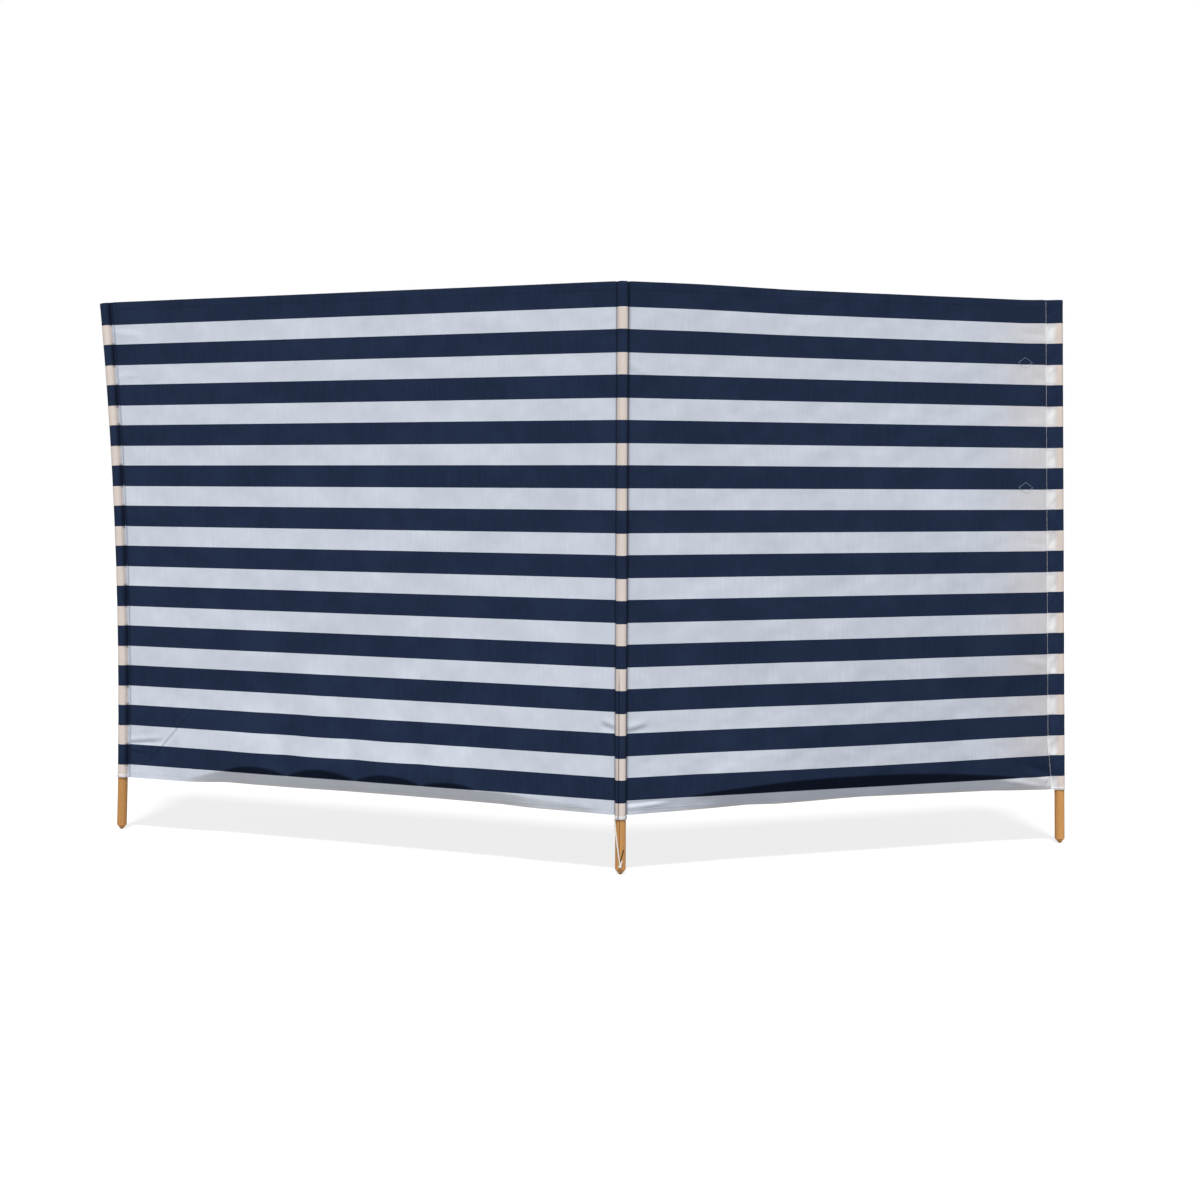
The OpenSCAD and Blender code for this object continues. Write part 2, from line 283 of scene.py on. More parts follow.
class Bay:
    """Place of one bay: u runs out from the middle pole, w to the back and z up."""

    def __init__(self, sizes, side):
        self.side = side
        self.body = side + "_bay"
        self.way = -1 if side == "left" else 1
        self.width = getattr(sizes, side + "_bay_w")
        self.fold = getattr(sizes, side + "_fold")
        self.lean = getattr(sizes, side + "_lean")
        self.bow = sizes.left_bow if side == "left" else 0.0
        self.half = sizes.pole_len / 2
        self.seam = getattr(sizes, side + "_seam")
        self.drift = sizes.right_drift if side == "right" else 0.0
        self.inner = sizes.middle_edge
        self.top = sizes.cloth_top
        self.height = canvas_height(sizes)
        self.foot = self.top - self.height
        self.out = np.array([self.way * math.cos(self.fold), math.sin(self.fold), 0])
        self.back = np.array([-self.way * math.sin(self.fold), math.cos(self.fold), 0])
        self.up = np.array([0.0, 0.0, 1.0])
        if self.bow:
            self.bend = self.half**2 / (2 * self.bow)
            turned = self.half / self.bend
            reach = self.bend * (math.cos(turned) * self.axes(0) + math.sin(turned) * self.axes(1))
            self.centre = np.array([self.width, 0]) + reach

    def axes(self, number):
        """Direction 0, across the end pole's leaning chord away from the middle pole, or 1, along it."""
        c, s = math.cos(self.lean), math.sin(self.lean)
        return np.array([[c, -s], [s, c]])[number]

    def place(self, u, w, z):
        """Points at u along the bay, w behind it and z up."""
        return u[..., None] * self.out + w[..., None] * self.back + z[..., None] * self.up

    def tail(self, v):
        """Distance of the seam's end from the end pole's axis, less by the drift near the bottom."""
        return self.seam - self.drift * smooth(1 - v / DRIFT_REACH)

    def outer(self, v):
        """Outer edge of the canvas at a height above its bottom, along the seam of the end pocket."""
        if self.bow:
            rise = self.foot + v - self.centre[1]
            return self.centre[0] - np.sqrt((self.bend + self.seam) ** 2 - rise**2)
        return self.width + (self.foot + v) * math.tan(self.lean) - self.tail(v) / math.cos(self.lean)

    def beside_pole(self, x, y, along):
        """Points beside the end pole: x away from the middle pole, y to the back, along its own axis.

        The axis of a bowed pole is an arc about its centre, and that of a straight one leans.
        """
        y = y + 0 * along
        if self.bow:
            turned = (along - self.half) / self.bend + self.lean
            reach = self.bend - x
            u = self.centre[0] - reach * np.cos(turned)
            return self.place(u, y, self.centre[1] + reach * np.sin(turned))
        c, s = math.cos(self.lean), math.sin(self.lean)
        return self.place(self.width + x * c + along * s, y, along * c - x * s)


def canvas_height(sizes):
    """Height of the canvas: the bottom stripe, the pairs and the top stripe."""
    pairs = sizes.stripe_pairs * (sizes.navy_h + sizes.white_h)
    return sizes.bottom_white_h + pairs + sizes.top_navy_h


# Slope of the bottom stripe, which turns under between the poles: distance along the bay and degrees
STRIP_SLOPE = {
    "left": (
        (0.05, 0.09, 0.20, 0.30, 0.47, 0.71, 0.88, 0.97, 1.05, 1.10, 1.14, 1.19),
        (0, 12, 13, 25, 29, 29, 26, 26, 28, 22, 12, 0),
    ),
    "right": (
        (0.02, 0.07, 0.16, 0.25, 0.32, 0.39, 0.47, 0.55, 0.61, 0.71, 0.83, 0.95, 1.08, 1.12),
        (0, 8, 15, 24, 31, 25, 29, 35, 38, 35, 31, 28, 20, 12),
    ),
}
# Line across the bottom stripe below which it turns under: distance along the bay and height
STRIP_FOLD = {
    "left": ((0.05, 0.10, 0.20, 0.30, 1.064, 1.185), (0.010, 0.016, 0.022, 0.034, 0.034, 0.0)),
    "right": ((0.955, 1.10), (0.036, 0.010)),
}
# Lobes of turned cloth above the bottom stripe: places where one ends and the next begins, and heights
LOBES = {
    "left": ((0.36, 0.505, 0.684, 0.871, 1.055), (0.013, 0.020, 0.022, 0.018)),
    "right": ((0.16, 1.04), (0.029,)),
}
# Creases of each bay: start, end, width, height and share over which the near end fades in, 1 for not
CREASES = {
    "left": (
        ((1.130, 0.192), (1.302, 0.016), 0.0024, 0.0013, 0.25),
        ((1.336, 0.090), (1.215, 0.102), 0.0050, -0.0013, 1.0),
        ((1.338, 0.072), (1.250, 0.058), 0.0045, -0.0005, 1.0),
        ((0.014, 0.196), (0.055, 0.209), 0.0060, 0.0013, 1.0),
        ((0.014, 0.560), (0.080, 0.575), 0.0060, 0.0007, 1.0),
        ((0.014, 1.080), (0.075, 1.066), 0.0060, 0.0006, 1.0),
        ((1.330, 0.668), (1.260, 0.652), 0.0050, 0.0007, 1.0),
        ((1.350, 1.118), (1.265, 1.108), 0.0045, 0.0009, 1.0),
        ((1.345, 1.010), (1.275, 1.016), 0.0045, 0.0007, 1.0),
    ),
    "right": (
        ((0.014, 0.190), (0.075, 0.204), 0.0065, 0.0016, 1.0),
        ((0.014, 0.999), (0.085, 0.968), 0.0055, 0.0010, 1.0),
        ((0.014, 0.020), (0.130, 0.026), 0.0045, -0.0012, 1.0),
        ((1.108, 1.095), (1.000, 1.106), 0.0050, 0.0009, 1.0),
        ((1.108, 0.985), (1.020, 1.000), 0.0050, 0.0008, 1.0),
        ((1.108, 0.905), (1.030, 0.895), 0.0045, 0.0006, 1.0),
        ((1.115, 0.590), (1.020, 0.602), 0.0050, 0.0007, 1.0),
        ((1.118, 0.310), (1.010, 0.330), 0.0055, 0.0010, 1.0),
        ((1.100, 0.036), (1.035, 0.060), 0.0100, 0.0018, 1.0),
    ),
}

# Folds of a bay, in metres: broad ripples, fine ripples and the sag along the top of the right bay
BROAD_RIPPLE, FINE_RIPPLE, TOP_SAG = 0.0007, 0.00015, 0.004
# Grid of a bay: rows lie closer near the bottom, and columns beside the poles
ROW_STOPS, ROW_COUNTS = (0, 0.09, 0.24), (44, 34, 122)
INNER_REACH, INNER_COUNT, MIDDLE_COUNT = 0.06, 18, 140
OUTER_REACH, OUTER_STEP = {"left": 0.24, "right": 0.10}, 0.003


class BayCloth:
    """Curved canvas of one bay, on a grid of rows up the cloth and columns along it.

    The bottom stripe turns under and keeps its height of cloth. Above it the cloth bellies forward and comes
    back in lobes. Ripples and creases then move the cloth to the front or the back, and the right bay hangs
    slack along its top.
    """

    def __init__(self, sizes, side):
        self.bay = bay = Bay(sizes, side)
        self.overlap = overlap = sizes.seam_w - SEAM_EDGE
        self.v = stretches(ROW_STOPS + (bay.height,), ROW_COUNTS)
        span = bay.outer(0) + overlap - bay.inner
        fine = OUTER_REACH[side]
        counts = (INNER_COUNT, MIDDLE_COUNT, round(fine / OUTER_STEP))
        self.s = stretches((0, INNER_REACH / span, 1 - fine / span, 1), counts)
        v = self.v[:, None]
        self.u = u = bay.inner + self.s * (bay.outer(v) + overlap - bay.inner)
        strip, lean = self.slopes(sizes, u, v)
        under = v < sizes.bottom_white_h
        step = np.diff(self.v)[:, None]
        drop = np.where(under, np.cos(strip), 1.0)
        back = np.where(under, np.sin(strip), lean)
        z = np.full(u.shape, bay.top)
        w = np.zeros(u.shape)
        z[:-1] -= np.cumsum(((drop[1:] + drop[:-1]) / 2 * step)[::-1], axis=0)[::-1]
        w[:-1] += np.cumsum(((back[1:] + back[:-1]) / 2 * step)[::-1], axis=0)[::-1]
        near = np.minimum(u - bay.inner, bay.outer(v) - u)
        free = smooth(near / 0.12)
        w += BROAD_RIPPLE * free * ripples(BROAD_SEED[side], 9, 0.62, 0.10, u * 0.6, v)
        w += FINE_RIPPLE * smooth(near / 0.03) * ripples(FINE_SEED[side], 8, 0.09, 0.03, u, v * 1.4)
        for start, end, width, height, tail in CREASES[side]:
            w += crease(u, v, start, end, width, height, tail) * smooth(near / 0.004)
        if side == "right":
            slack = smooth((u - 0.15) / 0.3) * smooth((1.13 - u) / 0.12)
            z -= TOP_SAG * slack * smooth((v - 0.93) / 0.30)
        self.points = bay.place(u, w, z)
        across = np.gradient(self.points, axis=1)
        self.rise = unit(np.gradient(self.points, axis=0))
        self.normal = unit(np.cross(across, self.rise))
        self.normal = self.normal * np.sign((self.normal @ bay.back).mean())

    def slopes(self, sizes, u, v):
        """Slope of the bottom stripe as an angle, and of the cloth above it as run to the back per drop.

        A lobe is half a sine wave high, to the power 0.8. In it the cloth runs back at one slope, and above
        it the belly takes the same run forward, spread as 6 t (1 - t) over its reach, so that the stripe's
        edge stays in the bay's plane.
        """
        side = self.bay.side
        edge = sizes.bottom_white_h
        fold = np.interp(u, *STRIP_FOLD[side])
        strip = np.radians(np.interp(u, *STRIP_SLOPE[side])) * smooth((fold - v) / 0.006 + 0.3)
        self.under = smooth(strip / 0.4) * (v < edge)
        ends, heights = LOBES[side]
        tall = np.zeros(u.shape)
        for start, end, height in zip(ends[:-1], ends[1:], heights):
            share = np.clip((u - start) / (end - start), 0, 1)
            tall = np.maximum(tall, height * np.sin(math.pi * share) ** 0.8)
        run = math.tan(sizes.lobe_turn) * smooth(tall / 0.008)
        lobe = smooth((edge + tall - v) / 0.006 + 0.5)
        self.lobe = lobe * (v > edge) * smooth(tall / 0.004)
        reach = np.maximum(11 * tall, 600 * tall**2) + 0.0001
        t = np.clip((v - edge - tall) / reach, 0, 1)
        return strip, run * (lobe - tall * 6 * t * (1 - t) / reach)

    def at(self, u, v, lift):
        """Points at u along and v up the cloth, lifted off it to the back, and its normals there.

        Past an edge the cloth runs on straight.
        """
        bay = self.bay
        inside = np.clip(v, 0, bay.height)
        share = (u - bay.inner) / (bay.outer(inside) + self.overlap - bay.inner)
        row = np.interp(inside, self.v, np.arange(len(self.v)))
        col = np.interp(share, self.s, np.arange(len(self.s)))
        j = np.clip(row.astype(int), 0, len(self.v) - 2)
        i = np.clip(col.astype(int), 0, len(self.s) - 2)
        a, b = (row - j)[..., None], (col - i)[..., None]

        def read(values):
            low = values[j, i] * (1 - b) + values[j, i + 1] * b
            high = values[j + 1, i] * (1 - b) + values[j + 1, i + 1] * b
            return low * (1 - a) + high * a

        past = np.asarray(v - inside)[..., None]
        normal = unit(read(self.normal))
        points = read(self.points) + past * unit(read(self.rise)) + np.asarray(lift)[..., None] * normal
        return points, normal


class Wiring:
    """Adds nodes to a tree and joins them; a value that is a socket is linked, any other is set."""

    def __init__(self, tree):
        self.tree = tree

    def put(self, socket, value):
        if isinstance(value, bpy.types.NodeSocket):
            self.tree.links.new(value, socket)
        else:
            socket.default_value = value

    def node(self, kind, values=None, **settings):
        node = self.tree.nodes.new(kind)
        for name, value in settings.items():
            setattr(node, name, value)
        for name, value in (values or {}).items():
            self.put(node.inputs[name], value)
        return node

    def math(self, operation, *values):
        return self.node("ShaderNodeMath", dict(enumerate(values)), operation=operation).outputs[0]

    def times(self, a, b):
        return self.math("MULTIPLY", a, b)

    def plus(self, a, b):
        return self.math("ADD", a, b)

    def minus(self, a, b):
        return self.math("SUBTRACT", a, b)

    def mix(self, share, a, b, blend="MIX"):
        values = {0: share, 6: a, 7: b}
        return self.node("ShaderNodeMix", values, data_type="RGBA", blend_type=blend).outputs[2]

    def ramp(self, value, low, high, start=0.0, end=1.0):
        values = {"Value": value, "From Min": low, "From Max": high, "To Min": start, "To Max": end}
        return self.node("ShaderNodeMapRange", values, interpolation_type="SMOOTHSTEP").outputs[0]

    def scaled(self, vector, scale):
        return self.node("ShaderNodeMapping", {"Vector": vector, "Scale": scale}).outputs[0]

    def noise(self, vector, scale, detail=2.0, roughness=0.5):
        values = {"Vector": vector, "Scale": scale, "Detail": detail, "Roughness": roughness}
        return self.node("ShaderNodeTexNoise", values).outputs[0]

    def axes(self, vector):
        return self.node("ShaderNodeSeparateXYZ", {0: vector}).outputs

    def use(self, tree, **values):
        node = self.node("ShaderNodeGroup", None, node_tree=tree)
        for name, value in values.items():
            self.put(node.inputs[name], value)
        return node.outputs

    def bump(self, height, strength, distance):
        values = {"Height": height, "Strength": strength, "Distance": distance}
        return self.node("ShaderNodeBump", values).outputs[0]

    def cloth_map(self):
        return self.node("ShaderNodeUVMap", None, uv_map=CLOTH_MAP).outputs[0]

    def mark(self, name):
        return self.node("ShaderNodeAttribute", None, attribute_name=name).outputs["Fac"]


def shared_effect(name, inputs, outputs):
    """A new node group with named sockets; returns its wiring, its inputs and its output node."""
    tree = bpy.data.node_groups.new(name, "ShaderNodeTree")
    for label, kind in inputs:
        tree.interface.new_socket(name=label, in_out="INPUT", socket_type=kind)
    for label, kind in outputs:
        tree.interface.new_socket(name=label, in_out="OUTPUT", socket_type=kind)
    wiring = Wiring(tree)
    return wiring, wiring.node("NodeGroupInput").outputs, wiring.node("NodeGroupOutput")


VECTOR, VALUE = "NodeSocketVector", "NodeSocketFloat"


def stripe_effect(sizes):
    """Mask of the dyed stripes over the height of the cloth, with edges as ragged as its threads."""
    name = "Woven stripes"
    if name in bpy.data.node_groups:
        return bpy.data.node_groups[name]
    w, given, out = shared_effect(name, [("Cloth", VECTOR)], [("Navy", VALUE)])
    pitch = sizes.navy_h + sizes.white_h
    ragged = w.noise(w.scaled(given["Cloth"], (900, 60, 1)), 1.0, 1.0)
    ragged = w.times(w.minus(ragged, 0.5), 0.0016)
    height = w.plus(w.axes(given["Cloth"])[1], ragged)
    above = w.minus(height, sizes.bottom_white_h)
    within = w.times(w.math("FRACT", w.math("DIVIDE", above, pitch)), pitch)
    rising = w.ramp(within, 0.0, 0.0004)
    falling = w.ramp(within, sizes.navy_h - 0.0004, sizes.navy_h, 1.0, 0.0)
    top = w.math("GREATER_THAN", above, sizes.stripe_pairs * pitch + 0.001)
    w.put(out.inputs["Navy"], w.math("MAXIMUM", w.times(rising, falling), top))
    return w.tree


def weave_effect():
    """Plain weave: threads as half waves both ways, and thick and thin stretches of the upright threads."""
    name = "Plain weave"
    if name in bpy.data.node_groups:
        return bpy.data.node_groups[name]
    inputs = [("Cloth", VECTOR), ("Pitch", VALUE)]
    w, given, out = shared_effect(name, inputs, [("Height", VALUE), ("Slub", VALUE), ("Mottle", VALUE)])
    axes = w.axes(given["Cloth"])
    rate = w.math("DIVIDE", math.pi, given["Pitch"])
    across = w.math("SINE", w.times(axes[0], rate))
    upward = w.math("SINE", w.times(axes[1], rate))
    threads = w.math("SQRT", w.math("ABSOLUTE", w.times(across, upward)))
    broad = w.noise(w.scaled(given["Cloth"], (150, 9, 1)), 1.0, 3.0, 0.6)
    fine = w.noise(w.scaled(given["Cloth"], (520, 26, 1)), 1.0, 2.0, 0.6)
    slub = w.plus(w.times(broad, 0.55), w.times(fine, 0.45))
    mottle = w.noise(given["Cloth"], 9.0, 4.0, 0.62)
    w.put(out.inputs["Height"], w.plus(w.times(threads, 0.45), slub))
    w.put(out.inputs["Slub"], slub)
    w.put(out.inputs["Mottle"], mottle)
    return w.tree


def plain_material(name, roughness, specular=0.5):
    """A material with a Principled shader; returns the material, its wiring and the shader."""
    material = bpy.data.materials.new(name)
    material.use_nodes = True
    shader = material.node_tree.nodes["Principled BSDF"]
    shader.inputs["Roughness"].default_value = roughness
    shader.inputs["Specular IOR Level"].default_value = specular
    return material, Wiring(material.node_tree), shader


def shade_of(rgb, factor=1.0):
    """A colour with alpha, made lighter or darker by a factor."""
    return tuple(min(1.0, c * factor) for c in rgb) + (1.0,)


def canvas_material(scene):
    """Striped cotton canvas: woven stripes, slub, faded threads, painted shade and fill light, and a warm
    cast over the poles that also paints bounce light.
    """
    name = "Striped canvas"
    if name in bpy.data.materials:
        return bpy.data.materials[name]
    sizes, tints = scene.windbreak_sizes, scene.windbreak_colours
    material, w, shader = plain_material(name, 0.86, 0.07)
    cloth = w.cloth_map()
    navy = w.use(stripe_effect(sizes), Cloth=cloth)["Navy"]
    weave = w.use(weave_effect(), Cloth=cloth, Pitch=0.0011)
    slub, mottle = weave["Slub"], weave["Mottle"]
    streak = w.ramp(slub, 0.36, 0.66)
    pale = w.mix(w.ramp(mottle, 0.32, 0.70), shade_of(tints.white, 0.93), shade_of(tints.white, 1.05))
    pale = w.mix(w.times(streak, 0.5), pale, shade_of(tints.white, 0.90))
    lined = w.mix(w.times(streak, 0.5), shade_of(tints.lined, 1.03), shade_of(tints.lined, 0.93))
    # Warmth of the wood behind the cloth; along the bottom edge of a bay this mark is painted warm bounce
    # light.
    pale = w.mix(w.mark("over_pole"), pale, lined)
    dark = w.mix(w.times(streak, 0.5), shade_of(tints.navy, 0.92), shade_of(tints.faded))
    dark = w.mix(w.ramp(mottle, 0.36, 0.70, 0.0, 0.7), dark, shade_of(tints.faded, 0.9))
    base = w.mix(navy, pale, dark)
    # This mark is also painted fill light where a bay's bottom stripe turns under.
    base = w.mix(w.mark("frayed"), base, shade_of(tints.thread))
    # Painted shade: on the canvas this mark darkens the valleys beside the pockets, the middle pocket's lap
    # edge, the lobes and the lower right bay.
    soiled = w.times(w.mark("soiled"), w.ramp(slub, 0.2, 0.6, 0.75, 1.0))
    base = w.mix(soiled, base, (0.12, 0.11, 0.16, 1.0), "MULTIPLY")
    w.put(shader.inputs["Base Color"], base)
    w.put(shader.inputs["Roughness"], w.ramp(slub, 0.3, 0.7, 0.80, 0.92))
    w.put(shader.inputs["Normal"], w.bump(weave["Height"], 0.5, 0.0004))
    return material


def wood_effect():
    """Straight grain along the height: growth rings drawn out lengthwise, fibres and patches of wear."""
    name = "Pole grain"
    if name in bpy.data.node_groups:
        return bpy.data.node_groups[name]
    outputs = [("Ring", VALUE), ("Fibre", VALUE), ("Wear", VALUE)]
    w, given, out = shared_effect(name, [("Place", VECTOR)], outputs)
    bent = w.noise(w.scaled(given["Place"], (30, 30, 3)), 1.0, 2.0)
    drawn = w.scaled(given["Place"], (1, 1, 0.03))
    terms = {0: drawn, 1: w.times(bent, 0.006)}
    drawn = w.node("ShaderNodeVectorMath", terms, operation="ADD").outputs[0]
    wave = {"Vector": drawn, "Scale": 95.0, "Distortion": 2.2, "Detail": 2.0, "Detail Scale": 1.5}
    rings = w.node("ShaderNodeTexWave", wave).outputs[1]
    fibre = w.noise(w.scaled(given["Place"], (1300, 1300, 26)), 1.0, 3.0, 0.65)
    w.put(out.inputs["Ring"], rings)
    w.put(out.inputs["Fibre"], fibre)
    w.put(out.inputs["Wear"], w.noise(w.scaled(given["Place"], (90, 90, 22)), 1.0, 4.0, 0.6))
    return w.tree


def wood_material(scene):
    """Weathered softwood: grain along the pole and soil on the points.

    The middle pole's foot also has a stained tip, a saw cut painted near black inside as painted shade, and
    a thin drying check, bumped in and painted dark as painted shade.
    """
    tints = scene.windbreak_colours
    material, w, shader = plain_material("Pole wood", 0.6, 0.3)
    place = w.node("ShaderNodeTexCoord").outputs["Object"]
    grain = w.use(wood_effect(), Place=place)
    x, y, z = w.axes(place)[:3]
    bleached = w.mix(w.ramp(x, -0.6, 0.6), shade_of(tints.wood, 0.92), shade_of(tints.wood, 1.14))
    base = w.mix(w.ramp(grain["Ring"], 0.35, 0.9, 0.0, 0.8), bleached, shade_of(tints.grain))
    base = w.mix(w.ramp(grain["Fibre"], 0.45, 0.75, 0.0, 0.55), base, shade_of(tints.grain, 0.8))
    base = w.mix(w.ramp(grain["Wear"], 0.55, 0.75, 0.0, 0.4), base, shade_of(tints.wood, 1.18))
    soil = w.plus(z, w.times(w.minus(grain["Wear"], 0.5), 0.012))
    base = w.mix(w.ramp(soil, 0.008, 0.016, 0.5, 0.0), base, shade_of(tints.wood, 1.25))
    off_axis = w.math("SQRT", w.plus(w.times(x, x), w.times(y, y)))
    stained = w.times(w.ramp(soil, 0.0, 0.005, 0.8, 0.0), w.math("LESS_THAN", off_axis, 0.03))
    base = w.mix(stained, base, shade_of(tints.stain))
    # Painted shade: near black inside the saw cut of the middle pole's foot, between 24 and 80 mm up.
    painted_saw_cut_shade = w.times(w.ramp(off_axis, 0.0110, 0.0117, 1.0, 0.0), w.ramp(z, 0.022, 0.026))
    base = w.mix(w.times(painted_saw_cut_shade, w.math("LESS_THAN", z, 0.08)), base, (0.02, 0.012, 0.008, 1.0))
    # Painted shade: a thin dark line down the front of the middle pole's foot, which the bump also presses
    # in.
    wander = w.times(w.minus(grain["Wear"], 0.5), 0.0012)
    off_line = w.math("ABSOLUTE", w.plus(w.plus(x, 0.0025), wander))
    crack_with_painted_shade = w.times(w.ramp(off_line, 0.0003, 0.0012, 1.0, 0.0), w.math("LESS_THAN", y, 0.0))
    crack_with_painted_shade = w.times(crack_with_painted_shade, w.ramp(z, 0.030, 0.060))
    base = w.mix(w.times(crack_with_painted_shade, 0.85), base, (0.035, 0.02, 0.012, 1.0))
    w.put(shader.inputs["Base Color"], base)
    w.put(shader.inputs["Roughness"], w.ramp(grain["Fibre"], 0.3, 0.7, 0.52, 0.74))
    height = w.plus(grain["Fibre"], w.times(grain["Ring"], 0.4))
    height = w.minus(height, crack_with_painted_shade)
    w.put(shader.inputs["Normal"], w.bump(height, 0.45, 0.0005))
    return material


def thread_material(scene, name, on_white, on_navy):
    """Twisted sewing thread, with one tint on the undyed stripes and one on the dyed ones."""
    if name in bpy.data.materials:
        return bpy.data.materials[name]
    material, w, shader = plain_material(name, 0.8, 0.1)
    cloth = w.cloth_map()
    worn = w.noise(w.scaled(cloth, (160, 160, 1)), 1.0, 2.0)
    navy = w.use(stripe_effect(scene.windbreak_sizes), Cloth=cloth)["Navy"]
    base = w.mix(navy, shade_of(on_white), shade_of(on_navy))
    base = w.mix(w.ramp(worn, 0.35, 0.65, 0.4, 0.0), base, (0.6, 0.6, 0.6, 1.0), "MULTIPLY")
    w.put(shader.inputs["Base Color"], base)
    return material


def cord_material(scene):
    """Twisted cotton cord: its strands turn round it, painted shade darkens the grooves between them, and
    soil darkens the knot.
    """
    tints = scene.windbreak_colours
    material, w, shader = plain_material("Cotton cord", 0.85)
    shader.inputs["Sheen Weight"].default_value = 0.1
    cloth = w.cloth_map()
    fuzz = w.noise(w.scaled(cloth, (900, 500, 1)), 1.0, 3.0, 0.6)
    groove = w.mark("groove")
    base = w.mix(w.ramp(fuzz, 0.35, 0.7), shade_of(tints.cord, 0.92), shade_of(tints.cord, 1.08))
    # Painted shade in the grooves between the strands.
    base = w.mix(w.times(groove, 0.55), base, shade_of(tints.cord, 0.5))
    soiled = w.times(w.mark("soiled"), w.ramp(fuzz, 0.3, 0.6))
    base = w.mix(soiled, base, (0.42, 0.34, 0.25, 1.0))
    w.put(shader.inputs["Base Color"], base)
    w.put(shader.inputs["Normal"], w.bump(fuzz, 0.5, 0.0003))
    return material


def marked(soiled=0.0, over_pole=0.0, frayed=0.0):
    """Shares of painted shade, of warmth from wood behind the cloth with painted bounce light, and of white
    thread, which also carries painted fill light; the canvas material reads them.
    """
    return {"soiled": soiled, "over_pole": over_pole, "frayed": frayed}


def stand_for(piece, body, node):
    """Lets a piece move with a body and stand for a CAD node, which it hides."""
    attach(piece, body)
    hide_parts(node)


def bay_canvas(scene, cloth):
    """Sheet of one bay: the curved canvas itself, with its marks.

    It carries painted shade as exp(-(distance / width)^2) beside the pockets, in the lobes and over the
    lower right bay.
    It is paler where the bottom stripe turns under, as painted fill light, warm along the bottom edge as
    painted bounce light, and warm towards the right pocket.
    """
    sizes = scene.windbreak_sizes
    bay = cloth.bay
    v = cloth.v[:, None] + 0 * cloth.u
    inside = cloth.u - bay.inner
    outside = bay.outer(cloth.v[:, None]) - cloth.u
    # Painted warm bounce light along the bottom edge where the stripe turns under.
    warm = 0.8 * smooth((0.004 - v) / 0.002) * cloth.under
    if bay.side == "left":
        # Painted shade in the valleys beside the middle pocket and the left pocket's tail, and painted fill
        # light on the turned-under stripe.
        soiled = 0.8 * np.exp(-((inside / 0.0013) ** 2)) + 0.7 * np.exp(-((outside / 0.0022) ** 2))
        pale = 0.32 * cloth.under
    else:
        low = smooth((0.8 - v) / 0.7) * smooth((cloth.u - 0.1) / 0.5)
        # Painted shade beside the middle pocket and over the bay above its bottom stripe, more low down, and
        # a little painted fill light.
        soiled = 0.8 * np.exp(-((inside / 0.0030) ** 2))
        soiled = soiled + (0.05 + 0.14 * low) * (v > sizes.bottom_white_h)
        pale = 0.05 * cloth.under
        warm = np.maximum(warm, 0.4 * smooth(1 - outside / 0.22))
    # The lobes get painted shade as well.
    marks = marked(soiled + 0.66 * cloth.lobe, warm, pale)
    surface = Surface(cloth.points, np.stack([cloth.u, v], -1), False, bay.side == "left", marks)
    piece = make_piece(bay.side + "_bay_canvas", [surface], canvas_material(scene), sizes.cloth_t)
    stand_for(piece, bay.body, bay.side + "_cloth")
    return piece


def closing(share, shoulder, dip):
    """How a pocket closes over its pole, by the share of the way in from its wall to its middle.

    Returns the part of the section that is left, which is 1 - dip (share / shoulder)^2 up to the shoulder
    and then runs straight to 0, and the part of the rise, a quarter of a sine wave up to the shoulder.
    """
    rounded_off = 1 - dip * (share / shoulder) ** 2
    straight = (1 - dip) * (1 - share) / (1 - shoulder)
    rise = np.sin(np.minimum(share / shoulder, 1) * math.pi / 2)
    return np.where(share < shoulder, rounded_off, straight), rise


